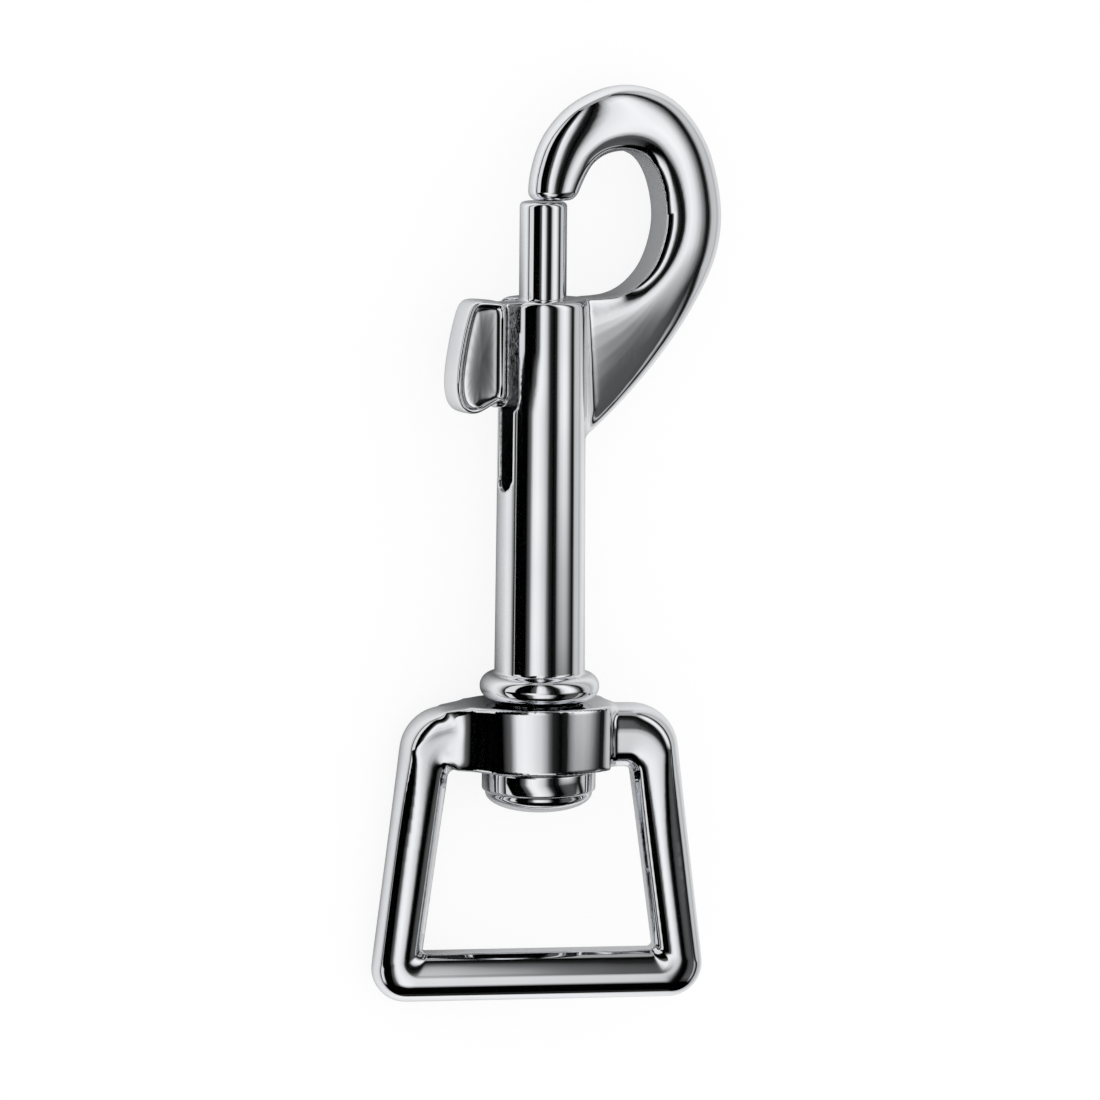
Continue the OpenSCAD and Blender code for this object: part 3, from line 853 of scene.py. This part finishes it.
# over the hook the left strip is narrower, and the gap beside it comes further in
narrowed = addNode(tree, "ShaderNodeMapRange", {
    "From Min": mm(29), "From Max": mm(37), "To Min": 0.0, "To Max": 20.0},
    {"Value": split.outputs["Y"]})
onLeft = addNode(tree, "ShaderNodeMapRange", {
    "From Min": -5.0, "From Max": -30.0, "To Min": 0.0, "To Max": 1.0},
    {"Value": degrees.outputs["Value"]})
inwards = addNode(tree, "ShaderNodeMath", {"operation": "MULTIPLY"}, {
    0: narrowed.outputs["Result"], 1: onLeft.outputs["Result"]})
placed = addNode(tree, "ShaderNodeMath", {"operation": "SUBTRACT"}, {
    0: leaned.outputs["Value"], 1: inwards.outputs["Value"]})
strips = greyRamp(tree, placed.outputs["Value"], -180, 180, tent)
fading = greyRamp(tree, split.outputs["Y"], mm(-300), mm(100),
                  [(mm(at), bright) for at, bright in sideFade])
ending = greyRamp(tree, split.outputs["Y"], mm(-300), mm(900),
                  [(mm(at), bright) for at, bright in endFade])
onSide = greyRamp(tree, degrees.outputs["Value"], -180, 180, [(8, 0), (16, 1), (60, 1), (66, 0)])
sideLight = addNode(tree, "ShaderNodeMix", {"data_type": "RGBA", 6: (1, 1, 1, 1)}, {
    0: onSide, 7: fading})
shaded = addNode(tree, "ShaderNodeMix", {"data_type": "RGBA", "blend_type": "MULTIPLY", 0: 1.0},
                 {6: strips, 7: sideLight.outputs[2]})
ended = addNode(tree, "ShaderNodeMix", {"data_type": "RGBA", "blend_type": "MULTIPLY", 0: 1.0},
                {6: shaded.outputs[2], 7: ending})
glow = addNode(tree, "ShaderNodeEmission", {"Strength": studio["tentPower"]},
               {"Color": ended.outputs[2]})
addNode(tree, "ShaderNodeOutputMaterial", links={"Surface": glow.outputs["Emission"]})
cloth.data.materials.append(glowCloth)

world = bpy.data.worlds.new("studio")
scene.world = world
world.use_nodes = True
tree = world.node_tree
tree.nodes.clear()
ray = addNode(tree, "ShaderNodeLightPath")
sky = addNode(tree, "ShaderNodeTexCoord").outputs["Generated"]
split = addNode(tree, "ShaderNodeSeparateXYZ", links={"Vector": sky})
ends = greyRamp(tree, split.outputs["Y"], -1, 1, [
    (-1, studio["lowGlow"]), (0, studio["lowGlow"]), (0.6, studio["highGlow"]),
    (1, studio["highGlow"])])
seen = addNode(tree, "ShaderNodeMix", {"data_type": "RGBA", 6: (1, 1, 1, 1)},
               {0: ray.outputs["Is Glossy Ray"], 7: ends})
sky = addNode(tree, "ShaderNodeBackground", {"Strength": 1.0}, {"Color": seen.outputs[2]})
addNode(tree, "ShaderNodeOutputWorld", links={"Surface": sky.outputs["Background"]})

# White sweep of paper: in the reflections its colour carries a painted light falloff to grey away
# from the object and a painted contact shadow where the object touches it, and the camera sees it
# white with a faint shadow
putDown()
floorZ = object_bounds()[0].z
bpy.ops.mesh.primitive_plane_add(size=studio["floorSize"], location=(0, 0, floorZ))
floor = bpy.context.object
floor.name = "paperFloor"
floor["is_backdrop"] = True
paper = bpy.data.materials.new("whitePaper")
paper.use_nodes = True
tree = paper.node_tree
tree.nodes.clear()
ray = addNode(tree, "ShaderNodeLightPath")
coords = addNode(tree, "ShaderNodeTexCoord").outputs["Object"]
split = addNode(tree, "ShaderNodeSeparateXYZ", links={"Vector": coords})
# painted light falloff over the paper, seen only in reflections
tone = greyRamp(tree, split.outputs["X"], mm(-100), mm(100),
                [(mm(at), bright) for at, bright in paperLightFalloff])
# painted contact shadow: the paper's colour darkens towards dark grey where the object occludes it
contactOcclusion = addNode(tree, "ShaderNodeAmbientOcclusion", {
    "samples": 8, "Distance": mm(studio["contact"])})
paintedContactShade = addNode(tree, "ShaderNodeMix", {
    "data_type": "RGBA", 6: linear(studio["contactShadeTone"]), 7: (1, 1, 1, 1)},
    {0: contactOcclusion.outputs["AO"]})
toned = addNode(tree, "ShaderNodeMix", {"data_type": "RGBA", "blend_type": "MULTIPLY", 0: 1.0},
                {6: tone, 7: paintedContactShade.outputs[2]})
grain = addNode(tree, "ShaderNodeTexNoise", {"Scale": 900.0, "Detail": 2.0}, {"Vector": coords})
fibre = addNode(tree, "ShaderNodeBump", {"Strength": 0.1, "Distance": mm(0.02)},
                {"Height": grain.outputs["Fac"]})
matt = addNode(tree, "ShaderNodeBsdfDiffuse", links={
    "Color": toned.outputs[2], "Normal": fibre.outputs["Normal"]})
white = addNode(tree, "ShaderNodeBsdfDiffuse", {"Color": (1, 1, 1, 1)})
glow = addNode(tree, "ShaderNodeEmission", {"Color": (1, 1, 1, 1), "Strength": 1.0})
cameraPaper = addNode(tree, "ShaderNodeMixShader", {0: studio["shadowKept"]}, {
    1: glow.outputs["Emission"], 2: white.outputs["BSDF"]})
either = addNode(tree, "ShaderNodeMixShader", links={
    0: ray.outputs["Is Camera Ray"], 1: matt.outputs["BSDF"], 2: cameraPaper.outputs["Shader"]})
addNode(tree, "ShaderNodeOutputMaterial", links={"Surface": either.outputs["Shader"]})
floor.data.materials.append(paper)

# One broad soft lamp overhead gives the paper its light; the plate doesn't mirror it
putDown()
bpy.ops.object.light_add(type="AREA", location=(-0.25, 0.15, 0.9))
lamp = bpy.context.object
lamp.data.shape = "DISK"
lamp.data.size = 0.8
lamp.data.energy = 0.8
lamp.visible_glossy = False
lamp.rotation_euler = Vector((-0.25, 0.1, 0.9)).to_track_quat("Z", "Y").to_euler()


view = {"left": 22.5, "above": 8, "distance": 750, "width": 116.43, "roll": 0.5,
        "aimX": 1.0, "aimY": -0.73}
putDown()
a, e = math.radians(view["left"]), math.radians(view["above"])
back = Vector((-math.sin(a) * math.cos(e), math.sin(e), math.cos(a) * math.cos(e)))
across = Vector((math.cos(a), 0, math.sin(a)))
up = back.cross(across)
target = place(0, 46.5) + across * mm(view["aimX"]) + up * mm(view["aimY"])
bpy.ops.object.camera_add(location=target + back * mm(view["distance"]))
camera = bpy.context.object
lean = math.radians(view["roll"])
right = across * math.cos(lean) + up * math.sin(lean)
top = up * math.cos(lean) - across * math.sin(lean)
camera.rotation_euler = Matrix((
    (right.x, top.x, back.x), (right.y, top.y, back.y), (right.z, top.z, back.z))).to_euler()
camera.data.sensor_width = 36
camera.data.lens = 36 * view["distance"] / view["width"]
camera.data.clip_start = 0.01
scene.camera = camera
print("stage: studio and camera set")
